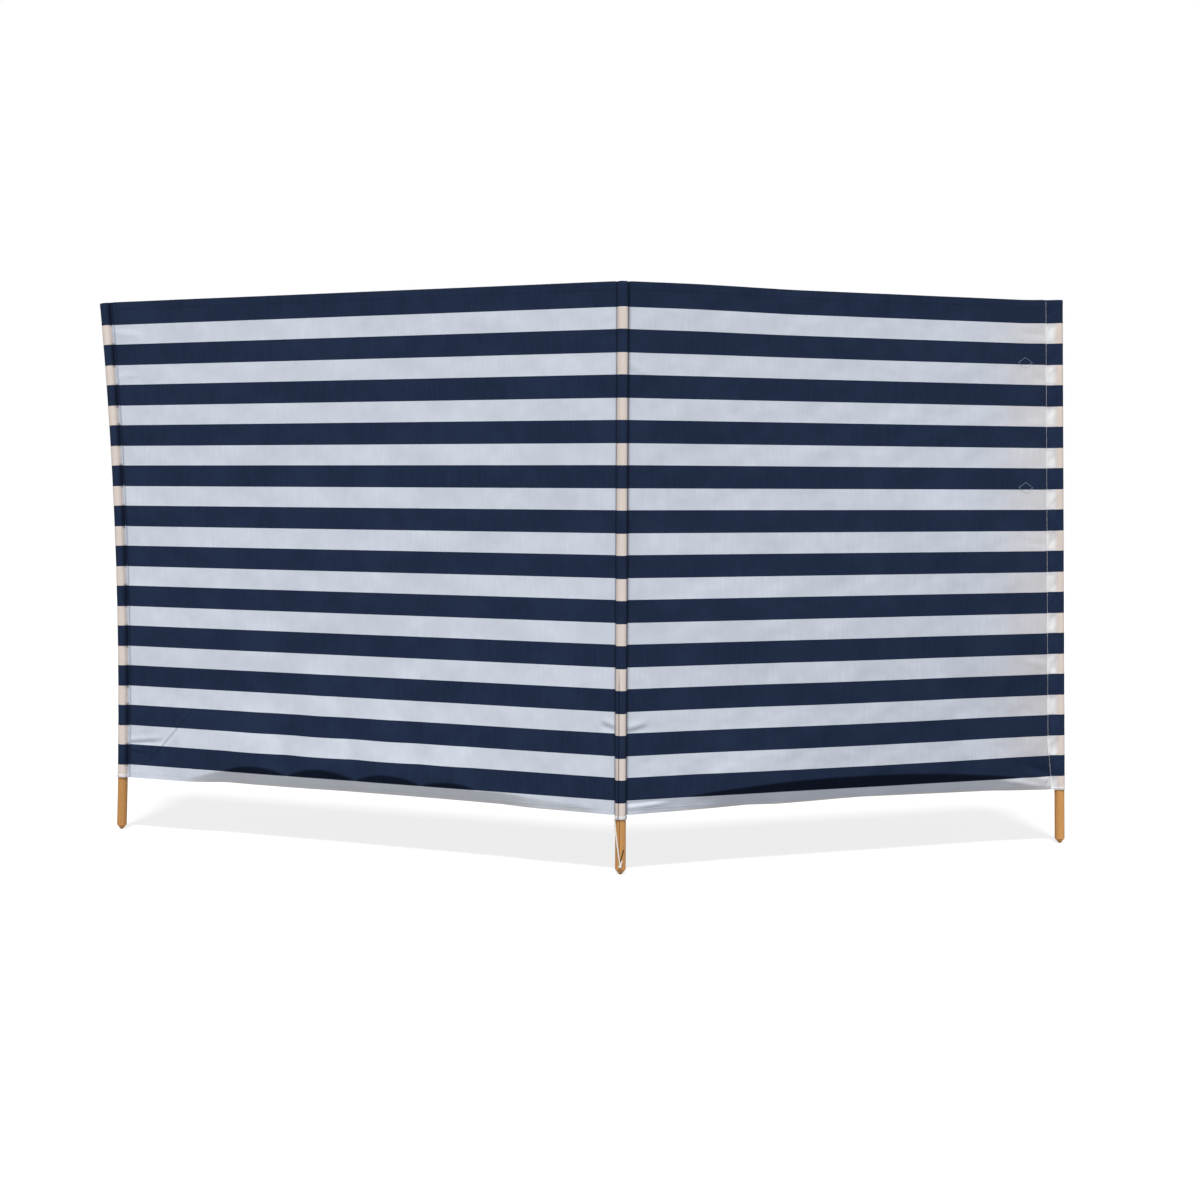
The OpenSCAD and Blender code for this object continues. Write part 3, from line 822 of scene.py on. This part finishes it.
def middle_pocket(scene):
    """Sleeve of the middle pole: a tube of radius r(angle, z), lapped in front, banded below, closed above.

    Its radius is the pole's with some ease, plus half a millimetre where the lap lies, a double turn at the
    bottom and small creases; over the top it rounds in to the axis with shallow tucks.
    """
    sizes = scene.windbreak_sizes
    bay = Bay(sizes, "right")
    columns, cap_h = 72, 0.003
    low, high = bay.foot - sizes.middle_drop, sizes.cloth_top - sizes.pocket_t / 2
    radius = sizes.pole_d / 2 + POCKET_EASE
    z = stretches((low, low + 0.010, high - cap_h), (12, 230))[:, None]
    angle = np.linspace(0, 2 * math.pi, columns, endpoint=False)[None, :]
    front = np.arctan2(np.cos(angle), -np.sin(angle))
    lap_edge = -0.42 + 0.05 * np.sin(z * 7 - 0.9)
    lap_reach = smooth((0.50 - z) / 0.10)
    lapped = smooth((lap_edge - front) / 0.06 + 0.5) * smooth((front + 1.25) / 0.5)
    r = radius + 0.0005 * (lapped * lap_reach)
    r = r + BAND_SWELL * smooth((low + sizes.band_h - z) / BAND_RAMP + 0.5)
    pinch = np.exp(-(((z - 0.333) / 0.012) ** 2)) * np.cos(front * 3) * 0.00018
    r = r + pinch + 0.00010 * ripples(TUBE_SEED, 8, 0.12, 0.03, radius * front, z)
    r = np.maximum(r, radius - PRESSED_IN)
    inward = np.linspace(0, 1, 12)[1:, None]
    left, rise = closing(inward, 0.4, 0.18)
    tucks = 0.0003 * (1 - np.cos(angle * 7)) * np.exp(-(((inward - 0.45) / 0.2) ** 2))
    all_r = np.concatenate([r, r[-1:] * left])
    all_z = np.concatenate([z + 0 * angle, z[-1] + cap_h * rise - tucks])
    points = np.stack([all_r * np.cos(angle), all_r * np.sin(angle), all_z], -1)
    v = np.minimum(all_z - bay.foot, bay.height)
    slipped = 0.0005 + 0.0030 * np.clip((0.66 - v) / 0.6, 0, 1)
    uv = np.stack([radius * front + 0 * all_z, v + slipped], -1)
    # Painted shade: a dark line along the lap's edge and dark bands down both sides where the tube meets the
    # bays.
    edge_line = np.exp(-((((front - lap_edge) - 0.02) / 0.10) ** 2)) * lap_reach
    soiled = 0.9 * edge_line + 0.7 * smooth((-1.15 - front) / 0.25) + 0.8 * smooth((front - 0.80) / 0.30)
    soiled = np.concatenate([soiled, np.zeros((len(inward), columns))])
    over = np.where(all_z < low + sizes.band_h, 0.35, 1.0)
    surface = Surface(points, uv, True, False, marked(soiled, over))
    material = canvas_material(scene)
    piece = make_piece("middle_pocket_canvas", [surface], material, sizes.pocket_t, merge=True)
    stand_for(piece, "middle", "middle_pocket")
    return piece


def pocket_section(radius, seam, seam_w, tuck, half):
    """Section of an end pocket, from the seam's front layer round the pole to its back layer.

    It is two straight tails, each by half off the middle, flanks that run to the pole and tuck in behind it,
    and an arc of the radius round the pole, with corners eased by weights of 1, 2 and 1. Returns x and y.
    """
    leave = math.acos(radius / (seam - seam_w)) - tuck
    tail = np.linspace(-seam, seam_w - seam, 7)
    share = np.linspace(0, 1, 11)[1:]
    flank_x = (seam_w - seam) * (1 - share) - radius * math.cos(leave) * share
    flank_y = -half * (1 - share) - radius * math.sin(leave) * share
    arc = np.linspace(math.pi + leave, 3 * math.pi - leave, 45)[1:-1]
    x = np.concatenate([tail, flank_x, radius * np.cos(arc), flank_x[::-1], tail[::-1]])
    y = np.concatenate([-half + 0 * tail, flank_y, radius * np.sin(arc), -flank_y[::-1], half + 0 * tail])
    for _ in range(2):
        x[1:-1] = (x[:-2] + 2 * x[1:-1] + x[2:]) / 4
        y[1:-1] = (y[:-2] + 2 * y[1:-1] + y[2:]) / 4
    return x, y


def undyed(sizes, v):
    """1 well inside the undyed stripes, 0 in the dyed ones and within 3 mm of them."""
    pitch = sizes.navy_h + sizes.white_h
    place = (v - sizes.bottom_white_h) % pitch - sizes.navy_h
    depth = np.minimum(place, sizes.white_h - place)
    return smooth((depth - 0.003) / 0.005) * (v < canvas_height(sizes) - sizes.top_navy_h)


def end_pocket(scene, side):
    """Sleeve of an end pole: a section carried up the pole, creased, banded below and closed above.

    Creases push the section along its normals, and inwards no further than there is room beside the pole.
    """
    sizes = scene.windbreak_sizes
    bay = Bay(sizes, side)
    radius = sizes.pole_d / 2 + POCKET_EASE
    half = (sizes.cloth_t + sizes.pocket_t) / 2 + LAYER_GAP
    cap_h = 0.002
    x, y = pocket_section(radius, bay.seam, sizes.seam_w, FLANK_TUCK, half)
    path = np.concatenate([[0], np.cumsum(np.hypot(np.diff(x), np.diff(y)))])
    nx, ny = np.gradient(y), -np.gradient(x)
    size = np.hypot(nx, ny)
    nx, ny = nx / size, ny / size
    low, high = bay.foot, sizes.cloth_top - sizes.pocket_t / 2
    along = stretches((low, low + 0.010, high - cap_h), (12, 220))[:, None]
    flank = smooth((x + bay.seam - sizes.seam_w) / 0.004) * smooth((-x - radius * 0.35) / 0.006)
    tail = smooth((x + bay.seam) / 0.003) * smooth((sizes.seam_w - bay.seam + 0.002 - x) / 0.004)
    slant = along + 0.9 * np.abs(x) * np.where(y < 0, 1, -1)
    swell = 0.0009 if side == "right" else 0.00035
    push = swell * flank * ripples(FLANK_SEED[side], 7, 0.085, 0.018, 0.25 * x, slant)
    push = push + 0.00025 * tail * ripples(TAIL_SEED, 5, 0.03, 0.010, 0 * x, along)
    push = push + 0.00009 * ripples(POCKET_SEED, 7, 0.10, 0.025, path, along)
    banded = smooth((low + sizes.band_h - along) / BAND_RAMP + 0.5)
    push = push + BAND_SWELL * banded * np.where(x < sizes.seam_w - bay.seam, 0.6, 1.0)
    room = np.maximum(np.hypot(x, y) - radius, 0)
    push = np.maximum(push, -PRESSED_IN - 0.8 * room)
    drift = bay.seam - bay.tail(along - low)
    start = radius * 0.7
    px = x + nx * push + drift * np.clip((-x - start) / (bay.seam - sizes.seam_w - start), 0, 1)
    py = y + ny * push
    left, rise = closing(np.linspace(0, 1, 10)[1:, None], 0.35, 0.14)
    middle_x = np.clip(x, sizes.seam_w - bay.seam, 0)
    all_x = np.concatenate([px, middle_x + (px[-1] - middle_x) * left])
    all_y = np.concatenate([py, py[-1] * left])
    all_z = np.concatenate([along, along[-1] + cap_h * rise]) + 0 * x
    points = bay.beside_pole(all_x, all_y, all_z)
    v = np.clip(all_z - bay.foot, 0, bay.height)
    slipped = -0.0018 * np.clip((1.1 - v) / 0.4, 0, 1) * (side == "right")
    uv = np.stack([path + 0 * all_z, v + slipped], -1)
    valley = np.exp(-(((x + bay.seam - sizes.seam_w - 0.001) / 0.0035) ** 2))
    edge = np.exp(-(((x + bay.seam) / 0.0005) ** 2))
    if side == "left":
        over = smooth((x + bay.seam - sizes.seam_w) / 0.002)
        # Painted shade in the valley beside the tube, darker on the navy stripes, and along the tail's edge.
        soiled = (0.35 + 0.55 * (undyed(sizes, v) == 0)) * valley + 0.4 * edge
        frayed = 0.0
    else:
        over = 0.4 + 0.6 * smooth((x + radius * 1.35) / (radius * 0.9))
        # A little painted shade in the valley beside the tube.
        soiled = 0.04 * valley
        frayed = 0.06 * edge + 0.42 * (1 - smooth((x + radius * 1.6) / radius)) * undyed(sizes, v)
    over = over * np.where(all_z < low + sizes.band_h, 0.5, 1.0)
    surface = Surface(points, uv, False, side == "left", marked(soiled, over, frayed))
    material = canvas_material(scene)
    piece = make_piece(side + "_pocket_canvas", [surface], material, sizes.pocket_t, merge=True)
    stand_for(piece, bay.body, side + "_pocket")
    return piece


def bay_hem(scene, cloth, edge):
    """Hem along the top or bottom of a bay: a strip behind the cloth that rolls over its edge."""
    sizes = scene.windbreak_sizes
    bay = cloth.bay
    u = np.linspace(0, 1, 200)
    behind = sizes.cloth_t / 2 + sizes.pocket_t / 2 + LAYER_GAP
    depth = sizes.top_hem_h if edge == "top" else sizes.bottom_hem_h
    inward = np.concatenate([np.linspace(depth, 0.0012, 9), [0.0004, -0.0002, -0.0004, -0.0003]])
    rolled = [behind * 0.85, behind * 0.5, 0.0, -0.0004]
    lift = np.concatenate([[behind - LAYER_GAP], np.full(8, behind), rolled])
    v = bay.height - inward if edge == "top" else inward
    span = bay.outer(v[:, None]) - bay.inner - 2 * sizes.hem_inset
    along = bay.inner + sizes.hem_inset + u * span
    rise = v[:, None] + 0 * along
    swell = 0.00025 * ripples(HEM_SEED[edge], 6, 0.06, 0.015, along, 0 * rise)
    puff = smooth(np.linspace(0, 1, len(v)) * 8)[:, None] * smooth((lift[:, None] - 0.0004) / 0.0004)
    points, _ = cloth.at(along, rise, lift[:, None] + np.abs(swell) * puff)
    uv = np.stack([along, np.clip(rise, 0, bay.height)], -1)
    flip = (bay.side == "left") == (edge == "bottom")
    surface = Surface(points, uv, False, flip, marked())
    name = f"{bay.side}_{edge}_hem"
    piece = make_piece(name + "_canvas", [surface], canvas_material(scene), sizes.pocket_t)
    stand_for(piece, bay.body, name)
    return piece


def patch_middle(sizes, bay, row):
    """Middle of a patch, from the right pocket inwards and up from the bottom of its navy stripe."""
    pitch = sizes.navy_h + sizes.white_h
    v = sizes.bottom_white_h + (sizes.stripe_pairs + 1 - row) * pitch + sizes.patch_rise
    return bay.outer(v) - sizes.patch_inset, v


def diamond_patch(scene, cloth, name, row):
    """Patch sewn behind the cloth: a diamond grid with edges that lie down on the cloth."""
    sizes = scene.windbreak_sizes
    u0, v0 = patch_middle(sizes, cloth.bay, row)
    side = np.linspace(-0.5, 0.5, 15)
    a, b = np.meshgrid(side, side, indexing="ij")
    u, v = u0 + (a - b) * sizes.patch_w / 2, v0 + (a + b) * sizes.patch_h / 2
    rim = np.maximum(np.abs(a), np.abs(b)) * 2
    behind = sizes.cloth_t / 2 + sizes.pocket_t / 2 + LAYER_GAP
    ridge = 0.0005 * smooth((rim - 0.55) / 0.2) * smooth((1 - rim) / 0.1)
    points, _ = cloth.at(u, v, behind + ridge)
    flat_v = sizes.bottom_white_h + sizes.navy_h / 2 + b * sizes.patch_h
    marks = marked(frayed=0.35 * smooth((rim - 0.93) / 0.07))
    surface = Surface(points, np.stack([a * sizes.patch_w, flat_v], -1), False, False, marks)
    piece = make_piece(name + "_canvas", [surface], canvas_material(scene), sizes.pocket_t)
    stand_for(piece, cloth.bay.body, name)
    return piece


def stitch_row(points, normals, uv, thread_d):
    """Stitches between neighbouring points: slim spindles whose ends dive into the cloth.

    Each spindle has rings of six points round the line from one point to the next; the rings swell from
    nothing to the thread's radius and lift out of the cloth in the middle.
    """
    start, run = points[:-1], np.diff(points, axis=0)
    normal = unit(normals[:-1])
    side = unit(np.cross(run, normal))
    share = np.array([0.06, 0.16, 0.5, 0.84, 0.94])
    swell = np.array([0.0, 0.8, 1.0, 0.8, 0.0]) * thread_d / 2
    lift = np.array([-0.5, 0.1, 0.3, 0.1, -0.5]) * thread_d
    angle = np.linspace(0, 2 * math.pi, 6, endpoint=False)
    centre = start[:, None] + run[:, None] * share[:, None] + normal[:, None] * lift[:, None]
    ring = np.cos(angle)[:, None] * side[:, None, None] + np.sin(angle)[:, None] * normal[:, None, None]
    grid = centre[:, :, None] + swell[:, None, None] * ring
    return [Surface(g, c, True, True, {}) for g, c in zip(grid, uv[:-1])]


def sewn(cloth, uv, lift, thread_d):
    """Stitches from place to place (u, v) on the cloth, on the face that lift points to."""
    points, normals = cloth.at(uv[:, 0], uv[:, 1], np.full(len(uv), lift))
    return stitch_row(points, normals * np.sign(lift), uv, thread_d)


def stitch_places(sizes, corners):
    """Places (u, v) one stitch apart along straight lines from corner to corner."""
    corners = np.array(corners)
    sides = np.linalg.norm(np.diff(corners, axis=0), axis=1)
    steps = np.maximum(2, np.round(sides / sizes.stitch_len)).astype(int)
    return np.stack([stretches(corners[:, 0], steps), stretches(corners[:, 1], steps)], -1)


def join_stitches(name, rows, material, body):
    """One piece from many stitches."""
    piece = make_piece(name, rows, material, merge=True)
    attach(piece, body)
    return piece


def bay_stitching(scene, cloth):
    """Stitches of a bay: along hems, beside the middle pocket, along the end seam and round the patches."""
    sizes, tints = scene.windbreak_sizes, scene.windbreak_colours
    bay = cloth.bay
    thread_d = sizes.thread_d
    front, behind = -sizes.cloth_t / 2, sizes.cloth_t / 2 + sizes.pocket_t + LAYER_GAP
    tail_front = -(sizes.cloth_t / 2 + sizes.pocket_t + 2 * LAYER_GAP)
    seam_u = bay.inner + INNER_STITCH
    ends = [(seam_u, EDGE_STITCH), (seam_u, bay.height - EDGE_STITCH)]
    rows = sewn(cloth, stitch_places(sizes, ends), sizes.cloth_t / 2, thread_d)
    for v in (bay.height - sizes.top_hem_h + HEM_STITCH, sizes.bottom_hem_h - HEM_STITCH):
        ends = [(bay.inner + HEM_STITCH_END, v), (bay.outer(v) - HEM_STITCH_END, v)]
        places = stitch_places(sizes, ends)
        rows += sewn(cloth, places, front, thread_d) + sewn(cloth, places, behind, thread_d)
    v = np.linspace(EDGE_STITCH, bay.height - EDGE_STITCH, round(bay.height / sizes.stitch_len))
    seam = np.stack([bay.outer(v) + TAIL_STITCH, v], -1)
    seamed = sewn(cloth, seam, tail_front, thread_d) + sewn(cloth, seam, -tail_front, thread_d)
    pieces = []
    if bay.side == "left":
        rows += seamed
    else:
        patched = []
        for row in PATCH_ROWS.values():
            u0, v0 = patch_middle(sizes, bay, row)
            wide, tall = sizes.patch_w / 2 - PATCH_STITCH[0], sizes.patch_h / 2 - PATCH_STITCH[1]
            corners = [(u0 + wide, v0), (u0, v0 + tall), (u0 - wide, v0), (u0, v0 - tall), (u0 + wide, v0)]
            places = stitch_places(sizes, corners)
            for lift, thick in zip((front, behind), PATCH_THREAD_D):
                patched += sewn(cloth, places, lift, thick)
        material = thread_material(scene, "Patch thread", tints.white, tints.patch)
        pieces.append(join_stitches("patch_stitching", patched, material, bay.body))
        material = thread_material(scene, "Pale thread", tints.thread, tints.thread)
        pieces.append(join_stitches("right_seam_stitching", seamed, material, bay.body))
    material = thread_material(scene, "Dyed thread", tints.white, tints.navy)
    pieces.append(join_stitches(bay.side + "_bay_stitching", rows, material, bay.body))
    return pieces


def cord_tube(path, radius, across, groove_turns, soiled):
    """Twisted cord along a path: three strands, so its radius is r (1 + 0.14 cos(3 angle - turn))."""
    tangent = unit(np.gradient(path, axis=0))
    first = unit(np.cross(tangent, across))
    second = np.cross(tangent, first)
    walk = np.concatenate([[0], np.cumsum(np.linalg.norm(np.diff(path, axis=0), axis=1))])
    angle = np.linspace(0, 2 * math.pi, 18, endpoint=False)
    twist = np.cos(3 * angle - walk[:, None] * groove_turns)
    r = radius[:, None] * (1 + 0.14 * twist)
    ring = np.cos(angle)[:, None] * first[:, None] + np.sin(angle)[:, None] * second[:, None]
    points = path[:, None] + r[..., None] * ring
    uv = np.stack([radius.max() * angle + 0 * r, walk[:, None] + 0 * r], -1)
    return Surface(points, uv, True, False, {"groove": smooth(-twist), "soiled": soiled + 0 * r})


def rounded(count, radius):
    """Radius along a cord whose two ends close in a quarter round."""
    steps = np.minimum(np.arange(count), np.arange(count)[::-1])
    return radius * np.sqrt(np.clip(1 - (1 - np.minimum(steps / 4, 1)) ** 2, 0, 1))


def tie_cord(scene):
    """Cord from the middle pocket's band to the foot: a taut run with one bend, a knot and two ends.

    One end goes into the pole behind the knot and the other up to the saw cut. The run follows the parabola
    with its two ends and the bend as control points. The knot is a trefoil: x = sin t + 2 sin 2t,
    y = cos t - 2 cos 2t and z = -sin 3t.
    """
    sizes = scene.windbreak_sizes
    bay = Bay(sizes, "right")
    radius = sizes.cord_d / 2
    close = sizes.pole_d / 2 + radius + 0.0002
    band_turn, bend_turn, knot_turn, end_turn = 61, 34, 2, -16

    def beside(degrees, r, z):
        """Points at a turn round the pole from its front towards the left, r off its axis and z up."""
        turned = np.radians(degrees)
        return np.stack([-r * np.sin(turned), -r * np.cos(turned), z + 0 * r], -1)

    share = np.linspace(0, 1, 90)[:, None]
    band_z = bay.foot - sizes.middle_drop
    bend = beside(bend_turn, close / math.cos(math.radians(32)), (band_z + sizes.knot_z) / 2)
    begin = beside(band_turn, close + 0.0022, band_z + 0.005)
    run = begin * (1 - share) ** 2 + 2 * bend * share * (1 - share)
    run = run + beside(knot_turn, close, sizes.knot_z) * share**2
    knot_middle = beside(knot_turn, close + radius, sizes.knot_z)
    t = np.linspace(0.25, 2 * math.pi - 0.25, 110)
    wide, tall = np.sin(t) + 2 * np.sin(2 * t), np.cos(t) - 2 * np.cos(2 * t)
    thick = -np.sin(3 * t)
    outward = beside(knot_turn, 1.0, 0.0)
    sideways = np.array([-outward[1], outward[0], 0])
    up = np.array([0, 0, 1.0])
    loop = wide[:, None] * sideways + tall[:, None] * up + 1.1 * thick[:, None] * outward
    loop = knot_middle + 0.00085 * loop
    rise = np.linspace(0, 1, 40)[:, None]
    tail = knot_middle * (1 - rise) + beside(end_turn, close, sizes.knot_z + 0.013) * rise
    stub = beside(knot_turn, np.linspace(close + radius, 0.0035, 16), sizes.knot_z)
    frayed = rounded(40, radius) * (1 + 0.25 * smooth((rise[:, 0] - 0.75) / 0.2))
    lay = 0.012
    rate = 2 * math.pi / lay
    level = np.array([0, 1.0, 0])
    surfaces = [
        cord_tube(run, rounded(90, radius), level, rate, 0.25 * smooth((share - 0.7) / 0.3)),
        cord_tube(loop, rounded(110, radius * 0.9), outward, rate, 0.3),
        cord_tube(tail, frayed, level, rate, 0.15),
        cord_tube(stub, rounded(16, radius), up, rate, 0.3),
    ]
    piece = make_piece("tie_cord_cotton", surfaces, cord_material(scene), merge=True)
    stand_for(piece, "middle", "tie_cord")
    return piece


class WINDBREAK_OT_stage(bpy.types.Operator):
    """Sets up the camera, the soft light, the white surroundings and the floor"""

    bl_idname = "windbreak.stage"
    bl_label = "Stage"

    def execute(self, context):
        scene = context.scene
        scene.view_settings.view_transform = "Standard"
        camera = bpy.data.objects.new("Camera", bpy.data.cameras.new("Camera"))
        scene.collection.objects.link(camera)
        camera.data.sensor_width = SENSOR
        camera.data.lens = LENS
        turned = Matrix()
        for degrees, axis in CAMERA_TURNS:
            turned = turned @ Matrix.Rotation(math.radians(degrees), 4, axis)
        camera.matrix_world = Matrix.Translation(CAMERA_PLACE) @ turned
        scene.camera = camera

        key = bpy.data.objects.new("Key light", bpy.data.lights.new("Key light", "SUN"))
        key.data.energy = SUN_ENERGY
        key.data.angle = math.radians(SUN_SPREAD)
        key.data.color = SUN_TINT
        scene.collection.objects.link(key)
        height = math.radians(SUN_HEIGHT)
        towards = Vector((0, -math.cos(height), math.sin(height)))
        key.rotation_euler = towards.to_track_quat("Z", "Y").to_euler()

        world = bpy.data.worlds.new("White surroundings")
        scene.world = world
        world.use_nodes = True
        w = Wiring(world.node_tree)
        sky = world.node_tree.nodes["Background"]
        sky.inputs["Color"].default_value = (1, 1, 1, 1)
        seen = self.seen_share(w)
        w.put(sky.inputs["Strength"], w.ramp(seen, 0.0, 1.0, SKY_FILL, 1.0))

        x, y = np.meshgrid((-FLOOR_HALF, FLOOR_HALF), (-FLOOR_HALF, FLOOR_HALF))
        corners = np.stack([x, y, np.full((2, 2), FLOOR_Z)], -1)
        material, w, shader = plain_material("Pale floor", 0.95, 0.1)
        grain = w.noise(w.node("ShaderNodeTexCoord").outputs["Object"], 3.0)
        tint = scene.windbreak_colours.floor
        seen = self.seen_share(w)
        pale = w.mix(grain, (0.94, 0.94, 0.94, 1.0), (0.96, 0.96, 0.96, 1.0))
        w.put(shader.inputs["Base Color"], w.mix(seen, shade_of(tint), pale))
        glow = w.node("ShaderNodeEmission", {"Color": (1, 1, 1, 1), "Strength": 1.0})
        share = w.times(seen, FLOOR_GLOW)
        both = w.node("ShaderNodeMixShader", {0: share, 1: shader.outputs[0], 2: glow.outputs[0]})
        w.put(material.node_tree.nodes["Material Output"].inputs["Surface"], both.outputs[0])
        floor = make_piece("Floor", [Surface(corners, np.zeros(2), False, False, {})], material)
        return {"FINISHED"}

    @staticmethod
    def seen_share(w):
        """1 for rays that show the surroundings: from the camera, in reflections and through glass."""
        rays = w.node("ShaderNodeLightPath").outputs
        seen = w.math("MAXIMUM", rays["Is Camera Ray"], rays["Is Glossy Ray"])
        return w.math("MAXIMUM", seen, rays["Is Transmission Ray"])


class WINDBREAK_OT_tie_cord(bpy.types.Operator):
    """Twists and knots the tie cord at the middle pole's foot"""

    bl_idname = "windbreak.tie_cord"
    bl_label = "Tie cord"

    def execute(self, context):
        tie_cord(context.scene)
        return {"FINISHED"}


class WINDBREAK_OT_poles(bpy.types.Operator):
    """Gives the three poles their weathered wood"""

    bl_idname = "windbreak.poles"
    bl_label = "Poles"

    def execute(self, context):
        material = wood_material(context.scene)
        for name in ("left_pole", "middle_pole", "right_pole"):
            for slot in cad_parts[name].material_slots:
                slot.material = material
        return {"FINISHED"}


class WINDBREAK_OT_pockets(bpy.types.Operator):
    """Makes the three sleeves that the poles stand in"""

    bl_idname = "windbreak.pockets"
    bl_label = "Pole pockets"

    def execute(self, context):
        middle_pocket(context.scene)
        for side in SIDES:
            end_pocket(context.scene, side)
        return {"FINISHED"}


class WINDBREAK_OT_canvas(bpy.types.Operator):
    """Makes the two bays of canvas with their hems, patches and stitching"""

    bl_idname = "windbreak.canvas"
    bl_label = "Canvas bays"

    def execute(self, context):
        scene = context.scene
        for side in SIDES:
            cloth = BayCloth(scene.windbreak_sizes, side)
            bay = cloth.bay
            sheet = bay_canvas(scene, cloth)
            sewn_on = [bay_hem(scene, cloth, edge) for edge in ("top", "bottom")]
            if side == "right":
                sewn_on += [diamond_patch(scene, cloth, name, row) for name, row in PATCH_ROWS.items()]
            sewn_on += bay_stitching(scene, cloth)
            width = float(bay.outer(bay.height / 2) + cloth.overlap - bay.inner)
        return {"FINISHED"}


class WINDBREAK_PT_sidebar(bpy.types.Panel):
    """Lists the steps that dress the windbreak, with its sizes and colours"""

    bl_idname = "WINDBREAK_PT_sidebar"
    bl_label = "Beach windbreak"
    bl_space_type = "VIEW_3D"
    bl_region_type = "UI"
    bl_category = "Windbreak"

    def draw(self, context):
        for operator in STEPS:
            self.layout.operator(operator.bl_idname)
        for group in (context.scene.windbreak_sizes, context.scene.windbreak_colours):
            box = self.layout.box()
            for name in group.__annotations__:
                box.prop(group, name)


STEPS = (
    WINDBREAK_OT_stage,
    WINDBREAK_OT_tie_cord,
    WINDBREAK_OT_poles,
    WINDBREAK_OT_pockets,
    WINDBREAK_OT_canvas,
)
CLASSES = (WindbreakSizes, WindbreakColours) + STEPS + (WINDBREAK_PT_sidebar,)


def register():
    for cls in CLASSES:
        bpy.utils.register_class(cls)
    bpy.types.Scene.windbreak_sizes = PointerProperty(type=WindbreakSizes)
    bpy.types.Scene.windbreak_colours = PointerProperty(type=WindbreakColours)


def unregister():
    del bpy.types.Scene.windbreak_colours
    del bpy.types.Scene.windbreak_sizes
    for cls in reversed(CLASSES):
        bpy.utils.unregister_class(cls)


def main():
    """Dresses the frame step by step."""
    register()
    bpy.ops.windbreak.stage()
    bpy.ops.windbreak.tie_cord()
    bpy.ops.windbreak.poles()
    bpy.ops.windbreak.pockets()
    bpy.ops.windbreak.canvas()
    bpy.context.view_layer.update()


if __name__ == "__main__":
    main()
